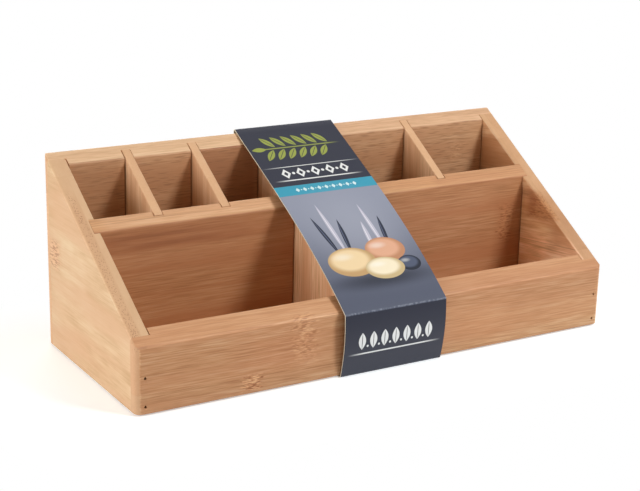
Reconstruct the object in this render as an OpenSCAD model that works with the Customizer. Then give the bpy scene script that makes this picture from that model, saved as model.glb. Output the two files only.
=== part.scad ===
// Make-up organizer of bamboo boards. One slope runs from its high back down to
// its low front. Six small cells stand behind two wide ones, and a printed card
// sleeve is wrapped round the middle of the box.
// X runs along the box, Y from the front to the back, and Z is up. The origin is
// under the middle of the box, on the surface that the sleeve's underside lies on.

/* [Box] */
// Length of the box
box_w = 230; // [222:1:360]
// Depth of the box, from its front face to its back face
box_d = 92; // [86:0.5:130]
// Height of the box at the back, to the corner of the slope
back_h = 84.5; // [76:0.5:110]
// Height of the box at the front, to the corner of the slope
front_h = 27.3; // [25:0.1:45]
// Thickness of the sides, the front and the back
board_t = 8; // [7.4:0.1:10]
// Thickness left on the front and the back where they lap the ends of the sides
lap_t = 4.8; // [3.5:0.1:5.5]

/* [Sanded edges] */
// Radius of the upright corners
corner_r = 3; // [1:0.1:3.6]
// Radius between the slope and the front face
front_edge_r = 2.2; // [1:0.1:5]
// Radius between the slope and the back face
back_edge_r = 1; // [0.4:0.1:2]
// Radius between the slope and the outer faces of the sides
side_edge_r = 1.2; // [0.4:0.1:2.5]

/* [Base] */
// Thickness of the base panel
base_t = 3; // [2:0.1:5]
// Height of the base panel's underside above the lower edges of the boards
base_up = 4.5; // [3:0.1:7]
// Depth of the groove that holds the base panel
base_groove = 2.5; // [1.5:0.1:2.6]

/* [Dividers] */
// Clear depth of the wide cells at the front
front_cell_d = 42.9; // [34:0.1:46]
// Clear width of the left one of the wide cells
front_cell_w = 90.1; // [50:0.1:120]
// Thickness of the long divider
long_t = 6.5; // [6:0.1:8]
// Thickness of the short dividers
short_t = 4; // [3:0.1:5]
// Clear width of the first small cell, counted from the left
rear_cell_1 = 25.8; // [20:0.1:32]
// Clear width of the second small cell
rear_cell_2 = 27.2; // [20:0.1:32]
// Clear width of the third small cell
rear_cell_3 = 29.1; // [20:0.1:34]
// Clear width of the fourth small cell
rear_cell_4 = 28.5; // [20:0.1:34]
// Clear width of the fifth small cell, beside which the sixth takes what is left
rear_cell_5 = 41.6; // [30:0.1:46]

/* [Joints] */
// Depth of the grooves in the sides for the long divider
side_housing = 3; // [2:0.1:4]
// Depth of the grooves in the back for the rear dividers
back_housing = 4.5; // [2:0.1:4.8]
// Depth of the grooves in the long divider and the front for the short dividers
short_housing = 2.5; // [1.5:0.1:2.7]
// Play beside a divider in its groove
groove_play = 0.45; // [0.1:0.05:0.6]
// Room between the end of a board and the bottom of its groove
end_play = 0.4; // [0.1:0.05:0.8]
// Gap between a side and the shoulder of the front or the back
shoulder_gap = 0.4; // [0.1:0.05:0.6]

/* [Brads] */
// Diameter of a brad
brad_d = 1.1; // [0.8:0.1:1.4]
// Length of a brad
brad_l = 16; // [12:0.5:20]
// Depth of a brad's end below the face that it is driven into
brad_set = 0.8; // [0.3:0.1:1.5]
// Height of the lower brads above the lower edge of the front and the back
brad_low = 3; // [2:0.1:4]
// Distance between the two brads at each end of the front
front_brad_gap = 11.7; // [8:0.1:14]
// Distance between neighbouring brads at each end of the back
back_brad_gap = 28; // [16:0.5:32]

/* [Card sleeve] */
// Width of the sleeve along the box
sleeve_w = 50; // [30:0.5:80]
// Distance of the sleeve's middle from the middle of the box
sleeve_shift = 0.5; // [-20:0.5:20]
// Thickness of the card
card_t = 0.4; // [0.3:0.05:0.8]
// Gap between the sleeve and the lower edges of the boards
under_gap = 0.3; // [0.3:0.05:1]
// Gap between the sleeve and the back
back_gap = 0.5; // [0.4:0.1:2]
// Height of the sleeve's back fold above the slope's line
back_fold_lift = 0.5; // [0.4:0.1:2]
// Height above the slope of the guide point that draws the sleeve's top up near the back
back_bow = 3; // [0.5:0.1:6]
// Height above the slope of the guide point that draws the sleeve's top up near the front
front_bow = 8.3; // [1:0.1:10]
// Height of the sleeve's upper front fold above the slope's line
front_fold_lift = 1.5; // [0.6:0.1:3]
// Gap between the sleeve's upper front fold and the front
fold_gap = 3; // [1:0.1:4]
// Gap between the sleeve's lower front fold and the front
foot_gap = 0.6; // [0.4:0.1:2]
// How far the sleeve's front bulges out between its folds
front_bulge = 1.2; // [0.2:0.1:2]
// Height of the glued lap on the sleeve's back
lap_h = 14; // [8:0.5:20]
// Height of the lap's lower edge above the sleeve's underside
lap_up = 12; // [5:0.5:30]

/* [Hidden] */

// Overrun of the cuts
over = 1;
// Steps in each rounded corner of an outline, and in the sleeve's top and front
arc_steps = 8;
top_steps = 16;
bulge_steps = 10;
// Facets of the brads, and their number at each end of the back
brad_facets = 24;
back_brad_count = 3;
// Point of a brad: its length, its flat tip and the play in its hole
brad_point = 1.5;
brad_tip_share = 0.25;
brad_play = 0.02;
brad_end_gap = 0.3;

// Rise of the slope for each unit of depth, and its angle
slope = (back_h - front_h) / box_d;
tilt = atan(slope);

// Inside of the box
inner_w = box_w - 2 * board_t;
front_inner = board_t - box_d / 2;
back_inner = box_d / 2 - board_t;
floor_z = base_up + base_t;

// Faces of the long divider
long_front = front_inner + front_cell_d;
long_rear = long_front + long_t;

// Left faces of the short dividers
rear_cells = [rear_cell_1, rear_cell_2, rear_cell_3, rear_cell_4, rear_cell_5];
rear_left = [for (i = [0:len(rear_cells) - 1]) first_sum(rear_cells, i) + i * short_t - inner_w / 2];
front_left = front_cell_w - inner_w / 2;

// Height of the wood above the ground, with the sleeve's underside below it
wood_z = card_t + under_gap;

// Places of the brads: in the middle of the sides' thickness
brad_x = (box_w - board_t) / 2;
front_brad_z = [brad_low, brad_low + front_brad_gap];
back_brad_z = [for (i = [0:back_brad_count - 1]) brad_low + i * back_brad_gap];

// Outlines of the whole box, from the side and from above
side_view = [[-box_d / 2, 0], [box_d / 2, 0], [box_d / 2, back_h], [-box_d / 2, front_h]];
plan_view = [[-box_w / 2, -box_d / 2], [box_w / 2, -box_d / 2],
    [box_w / 2, box_d / 2], [-box_w / 2, box_d / 2]];

// What is sanded off the slope's right edge, seen square to the slope, with its top at zero
side_edge_cut = concat(
    [for (i = [0:arc_steps]) let (w = 90 * i / arc_steps)
        [box_w / 2 - side_edge_r * (1 - cos(w)), -side_edge_r * (1 - sin(w))]],
    [[box_w / 2 - side_edge_r, over], [box_w / 2 + over, over], [box_w / 2 + over, -side_edge_r]]);

// Sum of a list's values up to and with the one at an index
function first_sum(values, i) = i < 0 ? 0 : values[i] + first_sum(values, i - 1);

function unit(v) = v / norm(v);

// Angle turned into the range from -180 to 180
function half_turn(a) = a > 180 ? a - 360 : a < -180 ? a + 360 : a;

// Arc of radius r that rounds corner p of an outline between points a and b
function round_corner(a, p, b, r) =
    let (u = unit(a - p), v = unit(b - p), half = acos(u * v) / 2,
        c = p + unit(u + v) * r / sin(half),
        from = p + u * r / tan(half) - c, to = p + v * r / tan(half) - c,
        start = atan2(from[1], from[0]),
        turn = half_turn(atan2(to[1], to[0]) - start))
    [for (i = [0:arc_steps]) let (w = start + turn * i / arc_steps) c + r * [cos(w), sin(w)]];

// Outline with each corner rounded by its own radius, where 0 keeps it sharp
function rounded(points, radii) =
    let (n = len(points))
    [for (i = [0:n - 1]) each radii[i] == 0 ? [points[i]]
        : round_corner(points[(i + n - 1) % n], points[i], points[(i + 1) % n], radii[i])];

// Outward normal of the edge that starts at point i of a counterclockwise outline
function edge_normal(points, i) =
    let (n = len(points), d = unit(points[(i + 1) % n] - points[i % n])) [d[1], -d[0]];

// Counterclockwise outline with every edge moved outwards by a distance
function outset(points, distance) =
    let (n = len(points))
    [for (i = [0:n - 1])
        let (m = edge_normal(points, i + n - 1), k = edge_normal(points, i))
        points[i] + (m + k) * distance / (1 + m * k)];

// Height of the slope at a depth, from the boards' lower edges
function slope_z(y) = front_h + slope * (y + box_d / 2);

// Point at share t of the curve that starts at p0, ends at p3 and is drawn towards p1 and p2
function curve(p0, p1, p2, p3, t) =
    p0 * pow(1 - t, 3) + p1 * 3 * t * pow(1 - t, 2) + p2 * 3 * pow(t, 2) * (1 - t) + p3 * pow(t, 3);

// Inside of the sleeve seen from its right, with z from the boards' lower edges.
// The card arches over the slope from its back fold to its upper front fold, with
// guide points at the thirds of the way, and its front bulges out above the foot.
back_y = box_d / 2 + back_gap;
fold_y = -box_d / 2 - fold_gap;
back_guide_y = (2 * back_y + fold_y) / 3;
front_guide_y = (back_y + 2 * fold_y) / 3;
back_fold = [back_y, slope_z(back_y) + back_fold_lift];
back_guide = [back_guide_y, slope_z(back_guide_y) + back_bow];
front_guide = [front_guide_y, slope_z(front_guide_y) + front_bow];
front_fold = [fold_y, slope_z(fold_y) + front_fold_lift];
foot = [-box_d / 2 - foot_gap, -under_gap];
sleeve_inside = concat(
    [[back_y, -under_gap]],
    [for (i = [0:top_steps]) curve(back_fold, back_guide, front_guide, front_fold, i / top_steps)],
    [for (i = [1:bulge_steps]) let (t = i / bulge_steps)
        front_fold + (foot - front_fold) * t - [front_bulge * sin(180 * t), 0]]);
sleeve_outside = outset(sleeve_inside, card_t);

// Extrudes an outline of y and z along X, from the middle both ways
module along_x(length) {
    rotate([90, 0, 90]) linear_extrude(length, center = true) children();
}

// The box as it is sanded after gluing, which every board is cut to
module box_outline() {
    difference() {
        intersection() {
            along_x(box_w + 2 * over)
                polygon(rounded(side_view, [0, 0, back_edge_r, front_edge_r]));
            translate([0, 0, -over]) linear_extrude(back_h + 2 * over)
                polygon(rounded(plan_view, [corner_r, corner_r, corner_r, corner_r]));
        }
        for (s = [-1, 1])
            translate([0, -box_d / 2, front_h]) rotate([tilt, 0, 0]) rotate([90, 0, 0])
                linear_extrude(2 * (box_d + back_h), center = true)
                    polygon([for (p = side_edge_cut) [s * p[0], p[1]]]);
    }
}

// Block of the box's outline between two corners in plan, from a height upwards
module blank(x0, x1, y0, y1, z0) {
    intersection() {
        box_outline();
        translate([x0, y0, z0]) cube([x1 - x0, y1 - y0, back_h + over - z0]);
    }
}

// Upright cut through a board's whole height, between two corners in plan
module upright_cut(x0, x1, y0, y1) {
    translate([x0, y0, -over]) cube([x1 - x0, y1 - y0, back_h + 2 * over]);
}

// Groove for the base panel, cut all round the inside of the box
module base_slot() {
    translate([0, 0, base_up + base_t / 2])
        cube([inner_w + 2 * base_groove, box_d - 2 * board_t + 2 * base_groove, base_t], center = true);
}

module brad() {
    translate([0, 0, brad_set]) {
        cylinder(h = brad_l - brad_point, d = brad_d, $fn = brad_facets);
        translate([0, 0, brad_l - brad_point])
            cylinder(h = brad_point, d1 = brad_d, d2 = brad_d * brad_tip_share, $fn = brad_facets);
    }
}

module brad_hole() {
    translate([0, 0, -over])
        cylinder(h = over + brad_set + brad_l + brad_end_gap, r = brad_d / 2 + brad_play, $fn = brad_facets);
}

// Puts a brad or its hole at each place on the front, driven in along +Y
module at_front_brads() {
    for (s = [-1, 1], z = front_brad_z)
        translate([s * brad_x, -box_d / 2, z]) rotate([-90, 0, 0]) children();
}

// Puts a brad or its hole at each place on the back, driven in along -Y
module at_back_brads() {
    for (s = [-1, 1], z = back_brad_z)
        translate([s * brad_x, box_d / 2, z]) rotate([90, 0, 0]) children();
}

// Front or back board before its grooves: full thickness between the sides, and
// a thinner lap over the end of each side
module lapped_board(y_sign) {
    outer = y_sign * box_d / 2;
    inner = outer - y_sign * board_t;
    difference() {
        blank(-box_w / 2 - over, box_w / 2 + over, min(outer, inner), max(outer, inner), -over);
        for (s = [-1, 1]) {
            shoulder = s * (inner_w / 2 - shoulder_gap);
            end = s * (box_w / 2 + over);
            step = outer - y_sign * lap_t;
            past = inner - y_sign * over;
            upright_cut(min(shoulder, end), max(shoulder, end), min(step, past), max(step, past));
        }
        base_slot();
    }
}

module front_panel() {
    color("#cf9b6c") translate([0, 0, wood_z]) difference() {
        lapped_board(-1);
        upright_cut(front_left - groove_play, front_left + short_t,
            front_inner - short_housing, front_inner + over);
        at_front_brads() brad_hole();
    }
}

module back_panel() {
    color("#cc996a") translate([0, 0, wood_z]) difference() {
        lapped_board(1);
        for (x = rear_left)
            upright_cut(x - groove_play, x + short_t, back_inner - over, back_inner + back_housing);
        at_back_brads() brad_hole();
    }
}

// Right side, with its housing for the long divider and its groove for the base
module side_board() {
    difference() {
        blank(inner_w / 2, box_w / 2 + over, lap_t - box_d / 2, box_d / 2 - lap_t, -over);
        upright_cut(inner_w / 2 - over, inner_w / 2 + side_housing, long_front - groove_play, long_rear);
        base_slot();
        // The slot runs out through both ends of the side
        translate([inner_w / 2 - over, -box_d / 2, base_up]) cube([over + base_groove, box_d, base_t]);
        at_front_brads() brad_hole();
        at_back_brads() brad_hole();
    }
}

module right_side() {
    color("#d9ad7e") translate([0, 0, wood_z]) side_board();
}

module left_side() {
    color("#e2bb8d") translate([0, 0, wood_z]) mirror([1, 0, 0]) side_board();
}

module base_panel() {
    x = inner_w / 2 + base_groove - end_play;
    y = box_d / 2 - board_t + base_groove - end_play;
    color("#c8a075") translate([0, 0, wood_z + base_up]) translate([-x, -y, 0]) cube([2 * x, 2 * y, base_t]);
}

module long_divider() {
    end = inner_w / 2 + side_housing - end_play;
    color("#c48f61") translate([0, 0, wood_z]) difference() {
        blank(-end, end, long_front, long_rear, floor_z);
        for (x = rear_left)
            upright_cut(x - groove_play, x + short_t, long_rear - short_housing, long_rear + over);
        upright_cut(front_left - groove_play, front_left + short_t, long_front - over, long_front + short_housing);
    }
}

// Short divider between the front and the long divider
module front_divider() {
    color("#cda077") translate([0, 0, wood_z])
        blank(front_left, front_left + short_t, front_inner - short_housing + end_play,
            long_front + short_housing - end_play, floor_z);
}

// Short divider between the long divider and the back
module rear_divider(i) {
    color("#cda077") translate([0, 0, wood_z])
        blank(rear_left[i], rear_left[i] + short_t, long_rear - short_housing + end_play,
            back_inner + back_housing, floor_z);
}

module front_brads() {
    color("#6b5a48") translate([0, 0, wood_z]) at_front_brads() brad();
}

module back_brads() {
    color("#6b5a48") translate([0, 0, wood_z]) at_back_brads() brad();
}

// Band of printed card, with its two ends glued in a lap on the back
module card_sleeve() {
    lap_y = box_d / 2 + back_gap + card_t;
    color("#3b4459") translate([sleeve_shift, 0, wood_z]) union() {
        along_x(sleeve_w) difference() {
            polygon(sleeve_outside);
            polygon(sleeve_inside);
        }
        translate([-sleeve_w / 2, lap_y, lap_up - wood_z]) cube([sleeve_w, card_t, lap_h]);
    }
}

left_side();
right_side();
front_panel();
back_panel();
base_panel();
long_divider();
front_divider();
rear_divider(0);  // rear_divider_1
rear_divider(1);  // rear_divider_2
rear_divider(2);  // rear_divider_3
rear_divider(3);  // rear_divider_4
rear_divider(4);  // rear_divider_5
front_brads();
back_brads();
card_sleeve();
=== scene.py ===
"""Looks of a bamboo make-up organizer with a printed card sleeve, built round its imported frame.

The frame gives every board, brad and the sleeve at its real size and place. This script eases the
boards' sharp edges, folds the sleeve out of one strip of card, and finishes every surface with
materials made of nodes. Lengths in dataclass fields are millimetres, unless their names say otherwise.
"""
import logging
import math
from dataclasses import dataclass, field
from enum import Enum
from typing import Any, Dict, List, Optional, Sequence, Tuple, Union

import bmesh
import bpy
from mathutils import Euler, Matrix, Vector

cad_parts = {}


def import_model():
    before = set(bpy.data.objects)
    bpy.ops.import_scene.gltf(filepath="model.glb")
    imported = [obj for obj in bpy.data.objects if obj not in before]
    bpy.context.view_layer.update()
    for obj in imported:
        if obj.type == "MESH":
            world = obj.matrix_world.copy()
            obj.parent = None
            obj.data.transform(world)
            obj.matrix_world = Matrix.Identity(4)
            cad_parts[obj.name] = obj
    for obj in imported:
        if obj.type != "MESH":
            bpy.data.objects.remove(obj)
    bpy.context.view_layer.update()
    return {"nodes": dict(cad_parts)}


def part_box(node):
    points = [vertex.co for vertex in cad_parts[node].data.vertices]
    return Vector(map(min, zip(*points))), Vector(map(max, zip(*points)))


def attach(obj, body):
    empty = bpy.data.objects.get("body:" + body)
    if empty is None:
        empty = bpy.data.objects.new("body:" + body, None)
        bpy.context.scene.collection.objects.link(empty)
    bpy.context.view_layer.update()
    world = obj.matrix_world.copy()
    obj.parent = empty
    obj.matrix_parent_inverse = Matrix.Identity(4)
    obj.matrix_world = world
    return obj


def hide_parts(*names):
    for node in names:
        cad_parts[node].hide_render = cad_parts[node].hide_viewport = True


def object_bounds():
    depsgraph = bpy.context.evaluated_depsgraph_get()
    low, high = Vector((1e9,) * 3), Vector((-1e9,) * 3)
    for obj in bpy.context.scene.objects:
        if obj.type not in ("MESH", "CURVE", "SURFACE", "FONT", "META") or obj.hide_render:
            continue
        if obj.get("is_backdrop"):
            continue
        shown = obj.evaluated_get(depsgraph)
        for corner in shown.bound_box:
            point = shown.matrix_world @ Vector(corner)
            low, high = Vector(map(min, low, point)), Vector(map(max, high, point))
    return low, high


LOG = logging.getLogger("organizer")
MM = 0.001
# Distance within which a corner counts as lying on a plane
TOUCH = 0.01 * MM

Colour = Tuple[float, float, float, float]
Point = Tuple[float, float]
Triple = Tuple[float, float, float]
Tree = bpy.types.NodeTree
Source = Union[bpy.types.Node, bpy.types.NodeSocket]
Piece = bpy.types.Object

WHITE: Colour = (1.0, 1.0, 1.0, 1.0)
# Painted shade in the joints' gaps: the share of the wood's red, green and blue that is left there
JOINT_SHADE: Triple = (0.42, 0.3, 0.22)


class Grain(Enum):
    """Direction of the bamboo's fibres in a board: indices of the along, across and depth axes."""

    ALONG_BOX = (0, 2, 1)
    FRONT_TO_BACK = (1, 2, 0)
    UPRIGHT = (2, 1, 0)


class Motif(Enum):
    """Outline of one printed shape."""

    DISC = "disc"
    BAR = "bar"
    DIAMOND = "diamond"
    LEAF = "leaf"


def to_linear(hex_text: str) -> Colour:
    """Turns an sRGB hex colour into the linear colour that a shader takes.

    Args:
        hex_text: Six hex digits with a leading hash sign.

    Returns:
        Linear red, green and blue, with an alpha of one.
    """
    levels = [int(hex_text[i:i + 2], 16) / 255 for i in (1, 3, 5)]
    linear = [v / 12.92 if v <= 0.04045 else ((v + 0.055) / 1.055) ** 2.4 for v in levels]
    return (linear[0], linear[1], linear[2], 1.0)


def add_node(tree: Tree, kind: str, settings: Optional[Dict[Any, Any]] = None,
             links: Optional[Dict[Any, Source]] = None) -> bpy.types.Node:
    """Adds a node to a tree, sets it up and links what it reads.

    Args:
        tree: Node tree of a material or the world.
        kind: Type name of the node, without the ShaderNode that all of them start with.
        settings: Values of its properties by name, and of its inputs by name or number.
        links: What its inputs read, by the input's name or number: an output socket, or a node
            whose first output in use is read.

    Returns:
        The new node.
    """
    node = tree.nodes.new("ShaderNode" + kind)
    for key, value in (settings or {}).items():
        if isinstance(key, str) and hasattr(node, key):
            setattr(node, key, value)
        else:
            node.inputs[key].default_value = value
    for key, source in (links or {}).items():
        if isinstance(source, bpy.types.Node):
            source = next(output for output in source.outputs if output.enabled)
        tree.links.new(source, node.inputs[key])
    return node


def new_material(name: str) -> bpy.types.Material:
    """Makes an empty node material.

    Args:
        name: Name of the finish.

    Returns:
        The material, with no nodes in it.
    """
    material = bpy.data.materials.new(name)
    material.use_nodes = True
    material.node_tree.nodes.clear()
    return material


def tinted(tree: Tree, colour: Source, mask: Source, tint: str) -> Source:
    """Lays a tint over a colour where a mask says.

    Args:
        tree: The material's node tree.
        colour: Colour so far.
        mask: Share of the tint.
        tint: The tint, as sRGB hex.

    Returns:
        The tinted colour.
    """
    return add_node(tree, "Mix", {"data_type": "RGBA", 7: to_linear(tint)}, {0: mask, 6: colour})


def only(piece: Piece) -> None:
    """Deselects everything, then selects one piece and makes it active.

    Args:
        piece: The piece.
    """
    bpy.ops.object.select_all(action="DESELECT")
    piece.select_set(True)
    bpy.context.view_layer.objects.active = piece


@dataclass(frozen=True)
class Region:
    """Block of a board, such as the speckled band that a node of the bamboo cane leaves in one strip.

    Attributes:
        along: Its middle along the grain.
        across: Its middle across the strips.
        depth: Its middle through the board's thickness.
        half_along: Half its length along the grain.
        half_across: Half its width across the strips.
        half_depth: Half its depth through the board.
        soft: Share of its half sizes over which it fades out.
        strength: How strong the mark, or the block's change of tone, is.
        gain: How many times as much red, green and blue the wood gives back inside the block, where the wood
            is stained or shade and light are painted.
    """

    along: float
    across: float
    depth: float
    half_along: float
    half_across: float
    half_depth: float = 3.0
    soft: float = 0.4
    strength: float = 1.0
    gain: Triple = (1.0, 1.0, 1.0)

    def mask(self, tree: Tree, place: Source) -> Source:
        """Masks the block in a material.

        Args:
            tree: The material's node tree.
            place: Millimetres along, across and through the grain.

        Returns:
            The mask, as strong as the mark inside the block.
        """
        near = add_node(tree, "Mapping", {
            "vector_type": "TEXTURE", "Location": (self.along, self.across, self.depth),
            "Scale": (self.half_along, self.half_across, self.half_depth)}, {"Vector": place})
        size = add_node(tree, "VectorMath", {"operation": "ABSOLUTE"}, {0: near})
        parts = add_node(tree, "SeparateXYZ", links={0: size}).outputs
        far = add_node(tree, "Math", {"operation": "MAXIMUM"}, {0: parts[1], 1: parts[2]})
        far = add_node(tree, "Math", {"operation": "MAXIMUM"}, {0: parts[0], 1: far})
        return add_node(tree, "MapRange", {
            "From Min": 1.0, "From Max": 1.0 - self.soft, "To Max": self.strength}, {"Value": far})


@dataclass(frozen=True)
class Wood:
    """A board's node tree, with what it knows of each point of the wood.

    Attributes:
        tree: The material's node tree.
        place: Millimetres along, across and through the grain.
        strip: Random colour of the point's laminated strip.
        share: Share of the figure that the face shows.
    """

    tree: Tree
    place: Source
    strip: Source
    share: Source


@dataclass(frozen=True)
class FigureLayer:
    """One scale of the wood's figure.

    Attributes:
        length: Length of its patches along the grain.
        width: Width of its patches across the grain.
        weight: How much it moves the tone, from dark at zero to light at one.
    """

    length: float
    width: float
    weight: float


@dataclass(frozen=True)
class BambooBoard:
    """Bamboo board, laminated from strips, planed, sanded and given a thin matt lacquer.

    The figure is solid, so the same fibres show as streaks on a face along the grain and as dots
    where the slope cuts across them, as they do on the real boards.

    Attributes:
        name: Name of the finish.
        grain: Direction of the fibres.
        dark: Colour of the darkest fibres.
        mid: Usual colour of the board.
        light: Colour of the lightest wood.
        rosy: Redder colour that comes and goes in long bands.
        strip: Width of the laminated strips.
        strip_start: Height or depth at which one strip starts.
        ply: Thickness of the plies.
        ply_start: Place at which one ply starts, through the board.
        tilt: Rise of the strips' joints for each millimetre along the grain.
        strip_weight: How much the strips differ in tone.
        bundles: Strength of the fibre bundles' dots and streaks.
        seed: Shifts the figure, so that no two boards are alike.
        cane_nodes: The bands that the cane's nodes leave.
        dotted: Blocks of dense outer cane, where the slope shows its bundles as plain dots.
        stains_and_painted_light: Blocks of another tone: redder strips, dark streaks and cane nodes, and
            painted shade and light, such as darker cells and joints and lighter patches where light falls.
        contrast: Strength of the figure.
        layers: The figure's scales.
        end_figure: Share of the figure that shows on faces across the grain.
        end_gain_and_sheen: How many times as much of each colour faces across the grain give back, which
            paints a sheen on them.
        slope_figure: Share of the figure that shows on the slope, which was sanded last.
        slope_gain_and_top_light: How many times as much of each colour the slope gives back: partly its
            sanding, and partly painted light that lightens or darkens the top as light falls on it.
        blush: How red the bands of the cane's nodes are.
        dot: Colour of the fibre bundles' dots and streaks.
        rosy_band: Size and strength of the redder bands.
        bundle_pitch: Distance between fibre bundles.
        bundle_length: Length of a bundle's streak along the grain.
        glue_line: Half the width of a joint between strips.
        speck_length: Length of the dashes in a cane node.
        speck_width: Width of those dashes.
        speck_rows: Pitch of the rows that the dashes lie in.
        ragged: How far the rows of a cane node run out, at most.
        speck_dark: Colour of the dark dashes.
        speck_light: Colour of the light dashes.
        rough: Roughness of the lacquer over the darkest fibres and over the lightest wood.
        relief: Depth of the fibres' relief under the lacquer.
    """

    name: str
    grain: Grain
    dark: str
    mid: str
    light: str
    rosy: str
    strip: float = 22.0
    strip_start: float = 8.0
    ply: float = 5.0
    ply_start: float = 0.0
    tilt: float = 0.0
    strip_weight: float = 0.16
    bundles: float = 0.22
    seed: float = 0.0
    cane_nodes: Tuple[Region, ...] = ()
    dotted: Tuple[Region, ...] = ()
    stains_and_painted_light: Tuple[Region, ...] = ()
    contrast: float = 1.0
    layers: Tuple[FigureLayer, ...] = (
        FigureLayer(150.0, 6.0, 0.5), FigureLayer(60.0, 1.2, 0.4), FigureLayer(15.0, 0.6, 1.1))
    end_figure: float = 0.3
    end_gain_and_sheen: Triple = (1.0, 1.0, 1.0)
    slope_figure: float = 0.55
    slope_gain_and_top_light: Triple = (1.0, 1.0, 1.0)
    blush: float = 0.4
    dot: str = "#a8744c"
    rosy_band: FigureLayer = FigureLayer(190.0, 7.0, 0.8)
    bundle_pitch: float = 0.8
    bundle_length: float = 45.0
    glue_line: float = 0.16
    speck_length: float = 2.4
    speck_width: float = 0.6
    speck_rows: float = 0.8
    ragged: float = 5.0
    speck_dark: str = "#8a5430"
    speck_light: str = "#e8bd90"
    rough: Tuple[float, float] = (0.62, 0.5)
    relief: float = 0.05

    def material(self) -> bpy.types.Material:
        """Makes the board's material.

        Returns:
            The material, which reads Object coordinates.
        """
        material = new_material(self.name)
        tree = material.node_tree
        place = self._grain_place(tree)
        strip, line = self._strips(tree, place)
        share, cut, slope = self._faces(tree)
        line = add_node(tree, "Math", {"operation": "MULTIPLY"}, {0: line, 1: share})
        wood = Wood(tree, place, strip, share)
        tone = self._tone(wood)
        colour = add_node(tree, "ValToRGB", links={"Fac": tone})
        ramp = colour.color_ramp
        ramp.elements[0].position, ramp.elements[0].color = 0.0, to_linear(self.dark)
        ramp.elements[1].position, ramp.elements[1].color = 1.0, to_linear(self.light)
        ramp.elements.new(0.5).color = to_linear(self.mid)
        dots = self._bundles(wood)
        tints = [(self._rosy_bands(wood), self.rosy), (dots, self.dot)]
        gains = [(stain_and_shade.mask(tree, place), stain_and_shade.gain) for stain_and_shade in self.stains_and_painted_light]
        late_tints = [(line, self.dark)]
        if self.cane_nodes:
            late_tints += zip(self._cane_nodes(wood), (self.rosy, self.speck_dark, self.speck_light))
        for mask, tint in tints:
            colour = tinted(tree, colour, mask, tint)
        # Multiplies in the stained blocks and those of painted shade and light, the painted sheen on end
        # faces, and the slope's sanding with its painted top light
        for mask, gain in gains + [(cut, self.end_gain_and_sheen), (slope, self.slope_gain_and_top_light)]:
            colour = add_node(tree, "Mix", {"data_type": "RGBA", "blend_type": "MULTIPLY", 7: (*gain, 1.0)},
                              {0: mask, 6: colour})
        for mask, tint in late_tints:
            colour = tinted(tree, colour, mask, tint)
        # The bundles' open pores show as shallow furrows under the lacquer
        furrow = 0.8
        relief = add_node(tree, "Math", {"operation": "MULTIPLY_ADD", 1: -furrow}, {0: dots, 2: tone})
        bump = add_node(tree, "Bump", {"Strength": 0.3, "Distance": self.relief * MM}, {"Height": relief})
        rougher, smoother = self.rough
        rough = add_node(tree, "MapRange", {"To Min": rougher, "To Max": smoother}, {"Value": tone})
        # Matt lacquer over wood: a dielectric with an IOR of about 1.5 and a broad, weak sheen
        shader = add_node(tree, "BsdfPrincipled", {"IOR": 1.5, "Specular IOR Level": 0.4},
                          {"Base Color": colour, "Roughness": rough, "Normal": bump})
        add_node(tree, "OutputMaterial", links={"Surface": shader})
        return material

    def _grain_place(self, tree: Tree) -> Source:
        """Turns a point of the board into its place in the grain.

        Args:
            tree: The material's node tree.

        Returns:
            Millimetres along, across and through the grain, levelled by the tilt.
        """
        place = add_node(tree, "TexCoord").outputs["Object"]
        split = add_node(tree, "SeparateXYZ", links={0: place}).outputs
        along, across, depth = (split[i] for i in self.grain.value)
        level = add_node(tree, "Math", {"operation": "MULTIPLY_ADD", 1: -self.tilt}, {0: along, 2: across})
        joined = add_node(tree, "CombineXYZ", links={0: along, 1: level, 2: depth})
        return add_node(tree, "VectorMath", {"operation": "SCALE", "Scale": 1 / MM}, {0: joined})

    def _strips(self, tree: Tree, place: Source) -> Tuple[Source, Source]:
        """Numbers the laminated strips and plies at random, and finds the glue lines between them.

        Args:
            tree: The material's node tree.
            place: Millimetres along, across and through the grain.

        Returns:
            A random colour for each strip of each ply, and the mask of the glue lines.
        """
        endless = 1000.0
        darkest_line, soft_edge = 0.45, 0.6
        cells = add_node(tree, "Mapping", {
            "vector_type": "TEXTURE", "Location": (-endless / 2, self.strip_start, self.ply_start),
            "Scale": (endless, self.strip, self.ply)}, {"Vector": place})
        numbers = add_node(tree, "VectorMath", {"operation": "FLOOR"}, {0: cells})
        middles = (0.5, 0.5 + self.seed, 0.5)
        moved = add_node(tree, "VectorMath", {"operation": "ADD", 1: middles}, {0: numbers})
        random = add_node(tree, "TexWhiteNoise", {"noise_dimensions": "3D"}, {"Vector": moved})
        parts = add_node(tree, "SeparateXYZ", links={0: cells}).outputs
        lines = []
        for socket, size in ((parts[1], self.strip), (parts[2], self.ply)):
            nearest = add_node(tree, "Math", {"operation": "PINGPONG", 1: 0.5}, {0: socket})
            half = self.glue_line / size
            lines.append(add_node(tree, "MapRange", {
                "From Min": (1 + soft_edge) * half, "From Max": (1 - soft_edge) * half,
                "To Max": darkest_line}, {"Value": nearest}))
        either = add_node(tree, "Math", {"operation": "MAXIMUM"}, {0: lines[0], 1: lines[1]})
        return random.outputs["Color"], either

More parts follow.
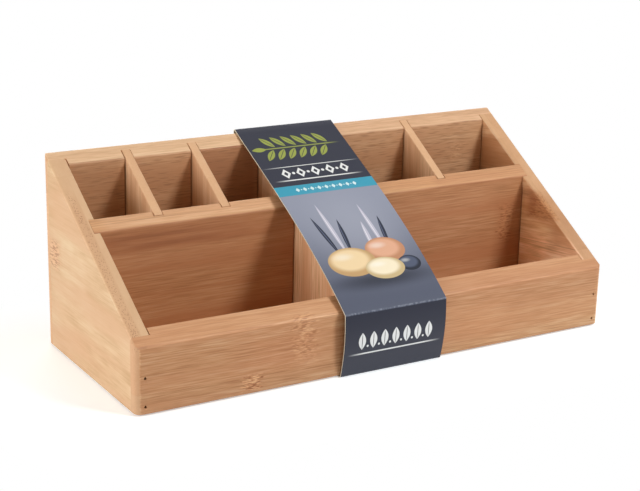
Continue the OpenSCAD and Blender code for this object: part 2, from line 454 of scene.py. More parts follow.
    def _rosy_bands(self, wood: Wood) -> Source:
        """Masks the long bands where the wood is redder.

        Args:
            wood: The board's node tree and its points.

        Returns:
            The mask of the bands.
        """
        tree, band = wood.tree, self.rosy_band
        board_shift = (self.seed * 3.1, self.seed, 7.7)
        band_edge, band_core = 0.42, 0.62
        size = add_node(tree, "VectorMath", {
            "operation": "DIVIDE", 1: (band.length, band.width, band.width)}, {0: wood.place})
        moved = add_node(tree, "VectorMath", {"operation": "ADD", 1: board_shift}, {0: size})
        figure = add_node(tree, "TexNoise", {"Scale": 1.0, "Detail": 1.0}, {"Vector": moved})
        bands = add_node(tree, "MapRange", {
            "From Min": band_edge, "From Max": band_core, "To Max": band.weight}, {"Value": figure})
        return add_node(tree, "Math", {"operation": "MULTIPLY"}, {0: bands, 1: wood.share})

    def _tone(self, wood: Wood) -> Source:
        """Adds the strips' own tones and every layer of figure into one tone.

        Args:
            wood: The board's node tree and its points.

        Returns:
            The tone, about a half on average.
        """
        tree = wood.tree
        # Each strip was sawn elsewhere in the cane, so its figure starts at a place of its own
        strip_shift = (400.0, 90.0, 90.0)
        board_shift = (self.seed * 17.0, self.seed * 5.0, 0.0)
        usual_low, usual_high = 0.33, 0.67
        shift = add_node(tree, "VectorMath", {
            "operation": "MULTIPLY_ADD", 1: strip_shift, 2: board_shift}, {0: wood.strip})
        own = add_node(tree, "VectorMath", {"operation": "ADD"}, {0: wood.place, 1: shift})
        figure = None
        for layer in self.layers:
            size = add_node(tree, "VectorMath", {
                "operation": "DIVIDE", 1: (layer.length, layer.width, layer.width)}, {0: own})
            noise = add_node(tree, "TexNoise", {
                "Scale": 1.0, "Detail": 2.0, "Roughness": 0.55}, {"Vector": size})
            reach = self.contrast * layer.weight / 2
            spread = add_node(tree, "MapRange", {
                "From Min": usual_low, "From Max": usual_high, "To Min": -reach, "To Max": reach},
                {"Value": noise})
            figure = spread if figure is None else add_node(
                tree, "Math", {"operation": "ADD"}, {0: figure, 1: spread})
        shade = add_node(tree, "SeparateXYZ", links={0: wood.strip})
        level = add_node(tree, "Math", {
            "operation": "MULTIPLY_ADD", 1: self.strip_weight, 2: 0.5 - self.strip_weight / 2},
            {0: shade.outputs[0]})
        return add_node(tree, "Math", {"operation": "MULTIPLY_ADD"}, {0: figure, 1: wood.share, 2: level})

    def _faces(self, tree: Tree) -> Tuple[Source, Source, Source]:
        """Tells a board's kinds of face apart by where they point.

        Args:
            tree: The material's node tree.

        Returns:
            The share of the figure that a face shows, the mask of the faces that cut across the
            grain, and the mask of the sanded slope.
        """
        normal = add_node(tree, "TexCoord").outputs["Normal"]
        parts = add_node(tree, "SeparateXYZ", links={0: normal}).outputs
        along = add_node(tree, "Math", {"operation": "ABSOLUTE"}, {0: parts[self.grain.value[0]]})
        masks, calm = [], []
        kinds = ((along, 0.2, 0.5, self.end_figure), (parts[2], 0.55, 0.8, self.slope_figure))
        for part, low, high, figure in kinds:
            span = {"From Min": low, "From Max": high}
            masks.append(add_node(tree, "MapRange", span, {"Value": part}))
            calm.append(add_node(tree, "MapRange", {
                **span, "To Min": 1.0, "To Max": figure}, {"Value": part}))
        share = add_node(tree, "Math", {"operation": "MULTIPLY"}, {0: calm[0], 1: calm[1]})
        return share, masks[0], masks[1]

    def _bundles(self, wood: Wood) -> Source:
        """Draws the fibre bundles, as far apart as in the coarsest bamboo, so that they show.

        Real ones are 0.3 to 0.8 mm apart. The green of a strip's random colour sets how dense
        its bundles look.

        Args:
            wood: The board's node tree and its points.

        Returns:
            The mask of the bundles.
        """
        tree = wood.tree
        dot_edge, dot_core, faintest = 0.4, 0.2, 0.3
        pitch = (self.bundle_length, self.bundle_pitch, self.bundle_pitch)
        size = add_node(tree, "VectorMath", {"operation": "DIVIDE", 1: pitch}, {0: wood.place})
        cells = add_node(tree, "TexVoronoi", {"Scale": 1.0}, {"Vector": size})
        dots = add_node(tree, "MapRange", {"From Min": dot_edge, "From Max": dot_core}, {"Value": cells})
        shade = add_node(tree, "SeparateXYZ", links={0: wood.strip})
        dense = add_node(tree, "MapRange", {"To Min": faintest * self.bundles, "To Max": self.bundles},
                         {"Value": shade.outputs[1]})
        dense = add_node(tree, "Math", {"operation": "MULTIPLY"}, {0: dense, 1: wood.share})
        for block in self.dotted:
            dense = add_node(tree, "Math", {"operation": "ADD"}, {0: block.mask(tree, wood.place), 1: dense})
        return add_node(tree, "Math", {"operation": "MULTIPLY", "use_clamp": True}, {0: dots, 1: dense})

    def _cane_nodes(self, wood: Wood) -> Tuple[Source, Source, Source]:
        """Masks the bands of the cane's nodes, and the dark and light dashes of twisted fibre in them.

        Args:
            wood: The board's node tree and its points.

        Returns:
            The bands, the dark dashes and the light ones.
        """
        tree = wood.tree
        flat = add_node(tree, "VectorMath", {"operation": "MULTIPLY", 1: (0, 1, 0)}, {0: wood.place})
        rows = add_node(tree, "VectorMath", {"operation": "SNAP", 1: (1, self.speck_rows, 1)}, {0: flat})
        own = add_node(tree, "TexWhiteNoise", {"noise_dimensions": "3D"}, {"Vector": rows}).outputs["Color"]
        shift = add_node(tree, "VectorMath", {
            "operation": "MULTIPLY_ADD", 1: (self.ragged, 0, 0), 2: (-self.ragged / 2, 0, 0)}, {0: own})
        loose = add_node(tree, "VectorMath", {"operation": "ADD"}, {0: wood.place, 1: shift})
        band = None
        for block in self.cane_nodes:
            inside = block.mask(tree, loose)
            band = inside if band is None else add_node(
                tree, "Math", {"operation": "MAXIMUM"}, {0: band, 1: inside})
        size = add_node(tree, "VectorMath", {
            "operation": "DIVIDE", 1: (self.speck_length, self.speck_width, self.speck_width)}, {0: loose})
        grit = add_node(tree, "TexNoise", {"Scale": 1.0, "Detail": 1.5}, {"Vector": size})
        masks = []
        for low, high, strength in ((0.53, 0.61, 0.6), (0.46, 0.38, 0.5)):
            dashes = add_node(tree, "MapRange", {
                "From Min": low, "From Max": high, "To Max": strength}, {"Value": grit})
            masks.append(add_node(tree, "Math", {"operation": "MULTIPLY"}, {0: band, 1: dashes}))
        blush = add_node(tree, "Math", {"operation": "MULTIPLY", 1: self.blush}, {0: band})
        return blush, masks[0], masks[1]


@dataclass(frozen=True)
class BradWire:
    """Mild steel wire, drawn, cut and darkened by rust and glue: a rough grey-brown metal.

    Attributes:
        name: Name of the finish.
        steel: Colour of the cleaner wire.
        rust: Colour of the darker blotches.
        blotch: Size of a blotch.
        rough: Roughness of the cleaner wire and of the blotches.
    """

    name: str = "darkened_brad_wire"
    steel: str = "#46331f"
    rust: str = "#24150b"
    blotch: float = 0.5
    rough: Tuple[float, float] = (0.35, 0.7)

    def material(self) -> bpy.types.Material:
        """Makes the wire's material.

        Returns:
            The material, which reads Object coordinates.
        """
        material = new_material(self.name)
        tree = material.node_tree
        place = add_node(tree, "TexCoord").outputs["Object"]
        spots = add_node(tree, "TexNoise", {
            "Scale": 1 / (self.blotch * MM), "Detail": 3.0}, {"Vector": place})
        mix = add_node(tree, "Mix", {
            "data_type": "RGBA", 6: to_linear(self.steel), 7: to_linear(self.rust)}, {0: spots})
        smoother, rougher = self.rough
        rough = add_node(tree, "MapRange", {"To Min": smoother, "To Max": rougher}, {"Value": spots})
        # Drawn steel under a thin film of rust and glue: more metal than not, and dull
        shader = add_node(tree, "BsdfPrincipled", {"Metallic": 0.7},
                          {"Base Color": mix, "Roughness": rough})
        add_node(tree, "OutputMaterial", links={"Surface": shader})
        return material


@dataclass(frozen=True)
class PrintedShape:
    """One shape of the sleeve's print, or a row of copies of it.

    Attributes:
        motif: Its outline.
        across: Its middle across the strip, from the strip's middle.
        along: Its middle along the strip, from the back fold towards the front.
        half_wide: Half its size across the strip, before it is turned.
        half_long: Half its size along the strip, before it is turned.
        colour: Colour of the ink.
        turn: Angle in degrees that it, or its whole row, is turned by.
        soft: Share of its half size over which its edge fades, or zero for a sharp edge.
        strength: How densely the ink covers what is under it.
        copies: Number of copies in a row across the strip.
        pitch: Distance between the copies.
        lean: Angle in degrees that each copy is turned by.
    """

    motif: Motif
    across: float
    along: float
    half_wide: float
    half_long: float
    colour: str
    turn: float = 0.0
    soft: float = 0.0
    strength: float = 1.0
    copies: int = 1
    pitch: float = 1.0
    lean: float = 0.0


@dataclass(frozen=True)
class PrintedCard:
    """Coated folding-box board with an offset print and a matt varnish, creased at the folds.

    The strip's UV map holds the distance across the strip and along it from the back fold, each
    divided by uv_span.

    Attributes:
        name: Name of the finish.
        navy: Ink of the two dark zones.
        stripe: Ink of the coloured stripe.
        haze: Ink of the panel's upper end.
        slate: Ink of its lower end.
        crease: Colour of the board where the ink has cracked.
        uv_span: Millimetres that one unit of the UV map stands for.
        edge_blur: Half the width over which a sharp edge of ink fades.
        zone_reach: Half the size of a zone that runs off the strip.
        crack: Distance from a crease within which the ink cracks, and that where it has worn off.
        fibres: Number of the board's fibres in a millimetre that show through the film.
        relief: Depth of their relief.
        rough: Roughness of the varnish, least and most.
    """

    name: str = "printed_card"
    navy: str = "#2e303e"
    stripe: str = "#3f9cba"
    haze: str = "#9297ab"
    slate: str = "#515669"
    crease: str = "#8d93a3"
    uv_span: float = 400.0
    edge_blur: float = 0.08
    zone_reach: float = 200.0
    crack: Tuple[float, float] = (0.45, 0.1)
    fibres: float = 2.5
    relief: float = 0.02
    rough: Tuple[float, float] = (0.38, 0.5)

    def material(self, folds: Sequence[float], stripe: Tuple[float, float], panel_end: float,
                 shapes: Sequence[PrintedShape]) -> bpy.types.Material:
        """Makes the print.

        Args:
            folds: Distances of the creases from the back fold.
            stripe: Start and end of the coloured stripe.
            panel_end: Distance at which the hazy panel ends.
            shapes: The printed shapes, the lowest first.

        Returns:
            The material, which reads the strip's UV map.
        """
        material = new_material(self.name)
        tree = material.node_tree
        uv = add_node(tree, "TexCoord").outputs["UV"]
        spot = add_node(tree, "VectorMath", {"operation": "SCALE", "Scale": self.uv_span}, {0: uv})
        parts = add_node(tree, "SeparateXYZ", links={0: spot}).outputs
        along = parts[1]
        fade = add_node(tree, "MapRange", {
            "From Min": stripe[1], "From Max": panel_end, "interpolation_type": "SMOOTHSTEP"},
            {"Value": along})
        colour = add_node(tree, "Mix", {
            "data_type": "RGBA", 6: to_linear(self.haze), 7: to_linear(self.slate)}, {0: fade})
        for shape in self._zones(stripe, panel_end) + list(shapes):
            colour = self._print_shape(tree, spot, colour, shape)
        worn = self._worn_folds(tree, spot, along, folds)
        colour = tinted(tree, colour, worn, self.crease)
        fibres = add_node(tree, "TexNoise", {"Scale": self.fibres, "Detail": 3.0}, {"Vector": spot})
        bump = add_node(tree, "Bump", {"Strength": 0.25, "Distance": self.relief * MM}, {"Height": fibres})
        smoother, rougher = self.rough
        rough = add_node(tree, "MapRange", {"To Min": smoother, "To Max": rougher}, {"Value": fibres})
        # Matt varnish over ink: a smooth dielectric film with a soft, wide highlight
        shader = add_node(tree, "BsdfPrincipled", {"IOR": 1.5, "Specular IOR Level": 0.2},
                          {"Base Color": colour, "Roughness": rough, "Normal": bump})
        add_node(tree, "OutputMaterial", links={"Surface": shader})
        return material

    def _zones(self, stripe: Tuple[float, float], panel_end: float) -> List[PrintedShape]:
        """Lists the flat zones of the print: dark behind the stripe and below the panel, and the stripe."""
        reach = self.zone_reach
        return [
            PrintedShape(Motif.BAR, 0, stripe[0] - reach, reach, reach, self.navy),
            PrintedShape(Motif.BAR, 0, panel_end + reach, reach, reach, self.navy),
            PrintedShape(Motif.BAR, 0, sum(stripe) / 2, reach, (stripe[1] - stripe[0]) / 2, self.stripe),
        ]

    def _print_shape(self, tree: Tree, spot: Source, colour: Source, shape: PrintedShape) -> Source:
        """Prints one shape over the colour so far.

        Args:
            tree: The material's node tree.
            spot: Millimetres across and along the strip.
            colour: Colour so far.
            shape: The shape.

        Returns:
            The colour with the shape on it.
        """
        near = add_node(tree, "Mapping", {
            "vector_type": "TEXTURE", "Location": (shape.across, shape.along, 0),
            "Rotation": (0, 0, math.radians(shape.turn))}, {"Vector": spot})
        inside = None
        if shape.copies > 1:
            near, inside = self._repeat(tree, near, shape)
        own = add_node(tree, "Mapping", {
            "vector_type": "TEXTURE", "Rotation": (0, 0, math.radians(shape.lean)),
            "Scale": (shape.half_wide, shape.half_long, 1)}, {"Vector": near})
        flat = add_node(tree, "VectorMath", {"operation": "MULTIPLY", 1: (1, 1, 0)}, {0: own})
        if shape.motif is Motif.DISC:
            reach = add_node(tree, "VectorMath", {"operation": "LENGTH"}, {0: flat})
        else:
            size = add_node(tree, "VectorMath", {"operation": "ABSOLUTE"}, {0: flat})
            wide, long, _ = add_node(tree, "SeparateXYZ", links={0: size}).outputs
            if shape.motif is Motif.LEAF:
                long = add_node(tree, "Math", {"operation": "POWER", 1: 2.0}, {0: long})
            joins = "MAXIMUM" if shape.motif is Motif.BAR else "ADD"
            reach = add_node(tree, "Math", {"operation": joins}, {0: wide, 1: long})
        blur = max(self.edge_blur / min(shape.half_wide, shape.half_long), shape.soft)
        mask = add_node(tree, "MapRange", {
            "From Min": 1 + blur, "From Max": 1 - blur, "To Max": shape.strength,
            "interpolation_type": "SMOOTHSTEP"}, {"Value": reach})
        if inside is not None:
            mask = add_node(tree, "Math", {"operation": "MULTIPLY"}, {0: mask, 1: inside})
        return tinted(tree, colour, mask, shape.colour)

    def _repeat(self, tree: Tree, near: Source, shape: PrintedShape) -> Tuple[Source, Source]:
        """Folds the print's plane, so that one shape shows as a row of copies.

        Args:
            tree: The material's node tree.
            near: Millimetres from the row's middle.
            shape: The shape, with the number of its copies and their pitch.

        Returns:
            Millimetres from the nearest copy's middle, and the mask of the row's length.
        """
        x, y, _ = add_node(tree, "SeparateXYZ", links={0: near}).outputs
        size = add_node(tree, "Math", {"operation": "ABSOLUTE"}, {0: x})
        inside = add_node(tree, "Math", {
            "operation": "LESS_THAN", 1: shape.copies * shape.pitch / 2}, {0: size})
        shift = 0.0 if shape.copies % 2 else shape.pitch / 2
        moved = add_node(tree, "Math", {"operation": "ADD", 1: shift}, {0: x})
        folded = add_node(tree, "Math", {
            "operation": "WRAP", 1: shape.pitch / 2, 2: -shape.pitch / 2}, {0: moved})
        both = add_node(tree, "CombineXYZ", links={0: folded, 1: y})
        return both, inside

    def _worn_folds(self, tree: Tree, spot: Source, along: Source, folds: Sequence[float]) -> Source:
        """Masks the thin line along each crease where the ink has cracked.

        Args:
            tree: The material's node tree.
            spot: Millimetres across and along the strip.
            along: Millimetres along the strip.
            folds: Distances of the creases from the back fold.

        Returns:
            The mask.
        """
        whole, gone, palest = 0.42, 0.62, 0.55
        wear = add_node(tree, "TexNoise", {"Scale": 0.9, "Detail": 4.0}, {"Vector": spot})
        broken = add_node(tree, "MapRange", {
            "From Min": whole, "From Max": gone, "To Max": palest}, {"Value": wear})
        lines = None
        for fold in folds:
            off = add_node(tree, "Math", {"operation": "SUBTRACT", 1: fold}, {0: along})
            size = add_node(tree, "Math", {"operation": "ABSOLUTE"}, {0: off})
            line = add_node(tree, "MapRange", {
                "From Min": self.crack[0], "From Max": self.crack[1]}, {"Value": size})
            lines = line if lines is None else add_node(
                tree, "Math", {"operation": "MAXIMUM"}, {0: lines, 1: line})
        return add_node(tree, "Math", {"operation": "MULTIPLY"}, {0: lines, 1: broken})


@dataclass(frozen=True)
class BareCard:
    """Unprinted face or cut edge of the board: uncoated fibres, quite matt, with faint flecks.

    Attributes:
        name: Name of the finish.
        pale: Colour of the fibres.
        fleck: Colour of the flecks.
        fleck_size: Size of a fleck.
        relief: Depth of the fibres' relief.
    """

    name: str
    pale: str
    fleck: str
    fleck_size: float = 0.8
    relief: float = 0.03

    def material(self) -> bpy.types.Material:
        """Makes the bare card's material.

        Returns:
            The material, which reads Object coordinates.
        """
        material = new_material(self.name)
        tree = material.node_tree
        place = add_node(tree, "TexCoord").outputs["Object"]
        flecks = add_node(tree, "TexNoise", {
            "Scale": 1 / (self.fleck_size * MM), "Detail": 3.0}, {"Vector": place})
        share = add_node(tree, "MapRange", {"From Min": 0.5, "From Max": 0.8}, {"Value": flecks})
        mix = add_node(tree, "Mix", {
            "data_type": "RGBA", 6: to_linear(self.pale), 7: to_linear(self.fleck)}, {0: share})
        bump = add_node(tree, "Bump", {"Strength": 0.3, "Distance": self.relief * MM}, {"Height": flecks})
        # Uncoated paper fibres: a rough dielectric with no highlight to speak of
        shader = add_node(tree, "BsdfPrincipled", {"Roughness": 0.85, "IOR": 1.45},
                          {"Base Color": mix, "Normal": bump})
        add_node(tree, "OutputMaterial", links={"Surface": shader})
        return material


@dataclass
class WoodenBox:
    """The organizer's boards: sides, front, back, base and dividers.

    Attributes:
        nodes: The frame's objects by name.
        body: The body that the boards ride on.
        ease: Width that sandpaper takes off a sharp edge of the slope.
        foot_ease: Width that it takes off the lower outer edges.
        merge: Distance under which the frame's loose corners are one.
        flat: Angle in degrees under which neighbouring faces are joined into one flat face.
        corner: Radius of the upright corners.
        snug_gap: Gap left between the long divider and the sides, whose play is taken up by glue.
        groove_mouths: Left faces of the rear dividers, beside which the back's grooves show.
        sharp: Least angle in degrees of an edge that sandpaper rounds.
        smooth: Angle in degrees up to which faces are shaded as one.
        round_steps: Faces across a rounded edge.
        boards: The new boards.
        outline: Half length and half depth in metres past which a lower edge is an outer one.
    """

    nodes: Dict[str, Piece]
    body: str = "organizer"
    ease: float = 0.5
    foot_ease: float = 0.4
    merge: float = 0.002
    flat: float = 0.5
    corner: float = 3.0
    snug_gap: float = 0.06
    groove_mouths: Tuple[float, ...] = (-81.2, -50.0, -16.9, 15.6, 61.2)
    sharp: float = 30.0
    smooth: float = 32.0
    round_steps: int = 3
    boards: List[Piece] = field(default_factory=list)
    outline: Point = (0.0, 0.0)

    def build(self) -> None:
        """Copies every board but the base from the frame and eases its sharp edges."""
        corner = self.corner * MM
        self.outline = (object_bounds()[1][0] - corner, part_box("back_panel")[1].y - corner)
        for node in sorted(self._finishes()):
            if node == "base_panel":
                continue
            axis = 1 if node in ("front_panel", "back_panel", "long_divider") else 0
            board = self._eased_copy(node, axis)
            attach(board, self.body)
            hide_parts(node)
            self.boards.append(board)
            LOG.info("board %s: %d faces", board.name, len(board.data.polygons))

    def dress(self) -> None:
        """Gives every board its own piece of bamboo."""
        finishes = self._finishes()
        for board in self.boards:
            finish = finishes[board["source_node"]]
            board.data.materials.append(finish.material())
            LOG.info("finish %s on %s", finish.name, board.name)
        base = self.nodes["base_panel"]
        base.data.materials.clear()
        base.data.materials.append(finishes["base_panel"].material())
        LOG.info("finish %s on base_panel", finishes["base_panel"].name)

    def _eased_copy(self, node: str, axis: int) -> Piece:
        """Copies a board from the frame, joins its corners and rounds its sharp upper and lower edges.

        Args:
            node: Name of the frame's node.
            axis: Axis through the board's thickness.

        Returns:
            The new board, with no material yet.
        """
        mesh = self.nodes[node].data.copy()
        mesh.materials.clear()
        board = bpy.data.objects.new(node + "_board", mesh)
        board["source_node"] = node
        bpy.context.scene.collection.objects.link(board)
        only(board)
        if mesh.has_custom_normals:
            bpy.ops.mesh.customdata_custom_splitnormals_clear()
        bpy.ops.object.mode_set(mode="EDIT")
        bpy.ops.mesh.select_all(action="SELECT")
        bpy.ops.mesh.remove_doubles(threshold=self.merge * MM)
        bpy.ops.mesh.dissolve_limited(angle_limit=math.radians(self.flat))
        if node in ("left_side", "right_side"):
            self._close_joint(board)
        for width, above in ((self.ease, True), (self.foot_ease, False)):
            bpy.ops.mesh.select_all(action="DESELECT")
            if self._pick_edges(board, axis, above):
                bpy.ops.mesh.bevel(
                    offset=width * MM, segments=self.round_steps, affect="EDGES", clamp_overlap=False)
        bpy.ops.object.mode_set(mode="OBJECT")
        bpy.ops.object.shade_smooth_by_angle(angle=math.radians(self.smooth))
        return board

    def _close_joint(self, board: Piece) -> None:
        """Moves the walls of a side's groove up to the long divider, as the glue fills its play.

        Args:
            board: The side, in edit mode.
        """
        low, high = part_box("long_divider")
        inner = min(abs(corner.x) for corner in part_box("left_side"))
        gap = self.snug_gap * MM
        reach = 1.0 * MM
        for axis, place in ((1, low.y), (0, high.x)):
            bpy.ops.mesh.select_all(action="DESELECT")
            work = bmesh.from_edit_mesh(board.data)
            move = Vector((0, 0, 0))
            for vert in work.verts:
                x, y, z = abs(vert.co.x), vert.co.y, vert.co.z
                in_groove = inner - TOUCH < x < high.x + reach and low.y - reach < y < high.y + reach
                off = y - place if axis else place - x
                if in_groove and z > low.z and -reach < off < -TOUCH:
                    vert.select_set(True)
                    way = 1.0 if axis else -math.copysign(1.0, vert.co.x)
                    move[axis] = way * (-off - gap)
            work.select_flush(True)
            bmesh.update_edit_mesh(board.data)
            bpy.ops.transform.translate(value=move)

    def _pick_edges(self, board: Piece, axis: int, above: bool) -> int:
        """Selects a board's sharp edges along the slope, or its lower outer edges.

        Args:
            board: The board, in edit mode.
            axis: Axis through its thickness.
            above: Whether the slope's edges are meant, and not the lower ones.

        Returns:
            The number of edges selected.
        """
        low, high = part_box(board["source_node"])
        work = bmesh.from_edit_mesh(board.data)
        work.normal_update()
        picked = 0
        for edge in work.edges:
            if len(edge.link_faces) != 2 or edge.calc_face_angle(0) < math.radians(self.sharp):
                continue
            one, other = edge.link_faces
            for face, wall in ((one, other), (other, one)):
                middle = (edge.verts[0].co + edge.verts[1].co) / 2
                on_box = min(abs(middle[axis] - low[axis]), abs(middle[axis] - high[axis])) < TOUCH
                if above:
                    # The slope's own normal points 0.85 up and 0.53 to the front
                    on_slope = face.normal.z > 0.6 and face.normal.y < -0.4
                    fits = on_slope and abs(wall.normal[axis]) > 0.9 and on_box
                else:
                    outside = abs(middle.x) > self.outline[0] or abs(middle.y) > self.outline[1]
                    fits = face.normal.z < -0.9 and abs(wall.normal.z) < 0.1 and outside
                if fits:
                    edge.select_set(True)
                    picked += 1
        bmesh.update_edit_mesh(board.data)
        return picked

    def _finishes(self) -> Dict[str, BambooBoard]:
        """Lists the bamboo of each board, with the marks that its own strips have, and the shade and light
        painted on its faces and joints.
        """
        # Painted shade in the joints: dark lines at the grooves' mouths, at the back's corners and where the
        # rear dividers meet the long divider
        groove_shade = tuple(Region(x - 0.25, 43, 40, 0.55, 36.5, 4.6, 0.12, gain=JOINT_SHADE)
                      for x in self.groove_mouths + (-106.75, 107.25))
        joint_shade = tuple(Region(x - 0.25, 32, 9.5, 0.5, 26.5, 2.6, 0.1, gain=JOINT_SHADE)
                    for x in self.groove_mouths)
        finishes = {
            "left_side": BambooBoard(
                "bamboo_left_side", Grain.FRONT_TO_BACK, "#c69f76", "#e2c099", "#f1d8b3", "#dfb08c",
                strip_start=10, strip=22.5, ply_start=-115, tilt=-0.02, seed=3, contrast=0.55,
                strip_weight=0.1, bundles=0.1, rosy_band=FigureLayer(60, 12, 0.7),
                layers=(FigureLayer(30, 8, 1.1), FigureLayer(14, 3.5, 0.6), FigureLayer(20, 0.6, 0.6)),
                slope_gain_and_top_light=(0.91, 0.84, 0.83), dot="#9c6540", bundle_pitch=0.58,
                speck_length=3.2, speck_width=0.8, blush=0.6,
                cane_nodes=(Region(37, 43.5, -115, 7, 7.5, strength=0.9),),
                dotted=(Region(-18, 34, -112.4, 44, 32, 1.9, 0.2, 0.42),
                        Region(-46, 26, -112, 12, 9, 2.4, 0.5, 0.25),
                        Region(17, 67, -112.4, 9, 6, 1.6, 0.4, 0.6)),
                stains_and_painted_light=(Region(-10, 5, -115, 60, 28, 1, 0.9, gain=(1.08, 1.06, 1.06)),
                        Region(46, 60, -115, 12, 60, 1, 0.9, gain=(0.93, 0.93, 0.9)),
                        Region(37, 43, -115, 10, 10, 2, 0.9, gain=(0.82, 0.7, 0.6)),
                        Region(-10, 42, -112.4, 42, 32, 2.4, 0.25, gain=(0.94, 0.89, 0.87)))),
            "right_side": BambooBoard(
                "bamboo_right_side", Grain.FRONT_TO_BACK, "#a3734b", "#d09a6e", "#e6bd93", "#b97c4d",
                strip_start=7, strip=23, ply_start=110, tilt=-0.11, seed=8, contrast=0.45,
                slope_gain_and_top_light=(0.98, 1.09, 1.24), blush=0.7, speck_dark="#743f1e", speck_light="#ae7648",
                rosy_band=FigureLayer(60, 9, 0.8),
                layers=(FigureLayer(26, 7, 1), FigureLayer(12, 2.2, 0.7), FigureLayer(24, 0.6, 0.8)),
                cane_nodes=(Region(-12, 47, 107, 11, 7.5, 4, 0.6, 1.1),),
                # A dark cane-node blotch and darker patches; painted light: the inner face's lower front
                # much lighter and bluer; painted shade at the long divider's joint
                stains_and_painted_light=(Region(-11.5, 47.6, 107, 13, 7.2, 1.6, 0.5, gain=(0.47, 0.26, 0.15)),
                        Region(0, 54, 107, 10, 5.5, 1.2, 0.6, gain=(0.82, 0.75, 0.71)),
                        Region(-12.5, 45.8, 111, 12, 8, 5, 0.6, gain=(0.93, 0.88, 0.84)),
                        Region(-6, 36, 107, 12, 30, 0.8, 0.5, gain=(1, 0.95, 0.9)),
                        Region(-30, 34, 110, 16, 12, 6, 0.5, gain=(0.88, 0.83, 0.81)),
                        Region(-16, 19.5, 107, 34, 17, 1.2, 0.4, gain=(1.42, 1.55, 1.84)),
                        Region(25, 66, 107, 26, 20, 1.2, 0.5, gain=(0.86, 0.86, 0.88)),
                        Region(4.6, 33, 108.5, 0.5, 24, 2.5, 0.15, gain=JOINT_SHADE))),
            "front_panel": BambooBoard(
                "bamboo_front", Grain.ALONG_BOX, "#a8744e", "#d29d72", "#e9c09a", "#cd9068",
                strip_start=7.2, strip=27, ply=6, ply_start=-46, tilt=-0.0145, seed=1, contrast=0.62,
                # Painted sheen on the end faces across the grain, strongest in blue
                end_gain_and_sheen=(0.97, 1.04, 1.14), slope_gain_and_top_light=(0.9, 0.87, 0.88), slope_figure=0.4, end_figure=0.08,
                rosy_band=FigureLayer(120, 9, 0.5), bundles=0.42, bundle_length=13, dot="#925e3a",
                cane_nodes=(Region(-41.2, 21, -46, 6, 14, 3, 0.5, 0.8),
                            Region(-64.5, 4.3, -46, 4.5, 3.8, strength=1.5)),
                dotted=(Region(-113, 26.5, -45, 3.5, 1.6, 3, 0.3, 0.3),),
                # Painted light: a lighter, bluer strip along the foot, and the face lighter towards its
                # right end and darker towards its left; the other blocks change the tone of patches of the
                # wood
                stains_and_painted_light=(Region(0, 3.2, -46, 130, 4, 6, 0.1, gain=(1.04, 1.12, 1.18)),
                        Region(85, 10, -46, 80, 15, 1.2, 0.7, gain=(1.1, 1.14, 1.15)),
                        Region(78, 27, -43, 70, 6, 4, 0.4, gain=(0.92, 0.88, 0.86)),
                        Region(-90, 17, -46, 70, 15, 1, 0.7, gain=(0.97, 0.96, 0.95)),
                        Region(-52, 16, -46, 28, 14, 1, 0.8, gain=(1, 0.9, 0.88)),
                        Region(42, 14, -46, 26, 16, 1, 0.8, gain=(1.1, 1.08, 1.08)))),
            "back_panel": BambooBoard(
                "bamboo_back", Grain.ALONG_BOX, "#ad7e57", "#d9ab83", "#eec69f", "#d09c74",
                strip_start=5, strip=21, ply=4, ply_start=38, seed=5, contrast=0.7,
                slope_gain_and_top_light=(1.09, 1.22, 1.36), slope_figure=0.4,
                bundles=0.2, bundle_length=8, bundle_pitch=0.75, dot="#70432a",
                dotted=(Region(0, 40, 38, 130, 60, 0.6, 0.3, 0.45),),
                layers=(FigureLayer(150, 6, 0.4), FigureLayer(40, 1, 0.5), FigureLayer(10, 0.6, 1)),
                cane_nodes=(Region(91.5, 66, 38, 4, 5, strength=0.5),
                            Region(-66, 42, 46, 5, 12, strength=0.8)),
                # Painted shade: the back's inner face darker in the cells, most in the first and the third,
                # where the sleeve's shadow falls; the right part of its top a little darker
                stains_and_painted_light=(Region(0, 40, 38, 130, 60, 0.6, 0.5, gain=(0.77, 0.68, 0.63)),
                        Region(-98, 40, 38, 18, 60, 0.6, 0.3, gain=(0.72, 0.62, 0.55)),
                        Region(-65.6, 40, 38, 15.6, 60, 0.6, 0.2, gain=(0.93, 0.87, 0.82)),
                        Region(-33.5, 40, 38, 16.5, 60, 0.6, 0.2, gain=(0.63, 0.43, 0.33)),
                        Region(66, 86, 42, 52, 5.7, 6, 0.1, gain=(0.93, 0.87, 0.86))) + groove_shade),
            "long_divider": BambooBoard(
                "bamboo_long_divider", Grain.ALONG_BOX, "#9a6640", "#c4885d", "#d8a57b", "#ba774e",
                strip_start=14, strip=20, ply=3.25, ply_start=4.9, seed=2, contrast=0.5,
                slope_gain_and_top_light=(1.16, 1.4, 1.6), speck_dark="#724020", speck_light="#be885c",
                bundles=0.4, bundle_length=13, dot="#7e4c2c",
                cane_nodes=(Region(98, 38, 4.9, 4.5, 10.5),),
                # Dark streaks under the top and a darker cane node; painted light: the front face's right
                # half lighter and bluer; the top lighter on the left and darker on the right; painted shade
                # at the joints
                stains_and_painted_light=(Region(-72, 54, 4.9, 50, 6.5, 1.5, 0.4, gain=(0.74, 0.6, 0.52)),
                        Region(-84, 55.5, 4.9, 26, 1.1, 1.5, 0.5, gain=(0.66, 0.52, 0.44)),
                        Region(-74, 51.5, 4.9, 24, 1.3, 1.5, 0.5, gain=(0.74, 0.6, 0.52)),
                        Region(-62, 66, 8, 45, 6.3, 6, 0.12, gain=(1.06, 1.11, 1.22)),
                        Region(86, 66, 8, 30, 6.3, 6, 0.12, gain=(0.93, 0.9, 0.9)),
                        Region(54, 30, 4.9, 47, 30, 1.5, 0.6, gain=(1.22, 1.3, 1.46)),
                        Region(97, 38, 4.9, 6.5, 14, 1.5, 0.7, gain=(0.9, 0.84, 0.8)),
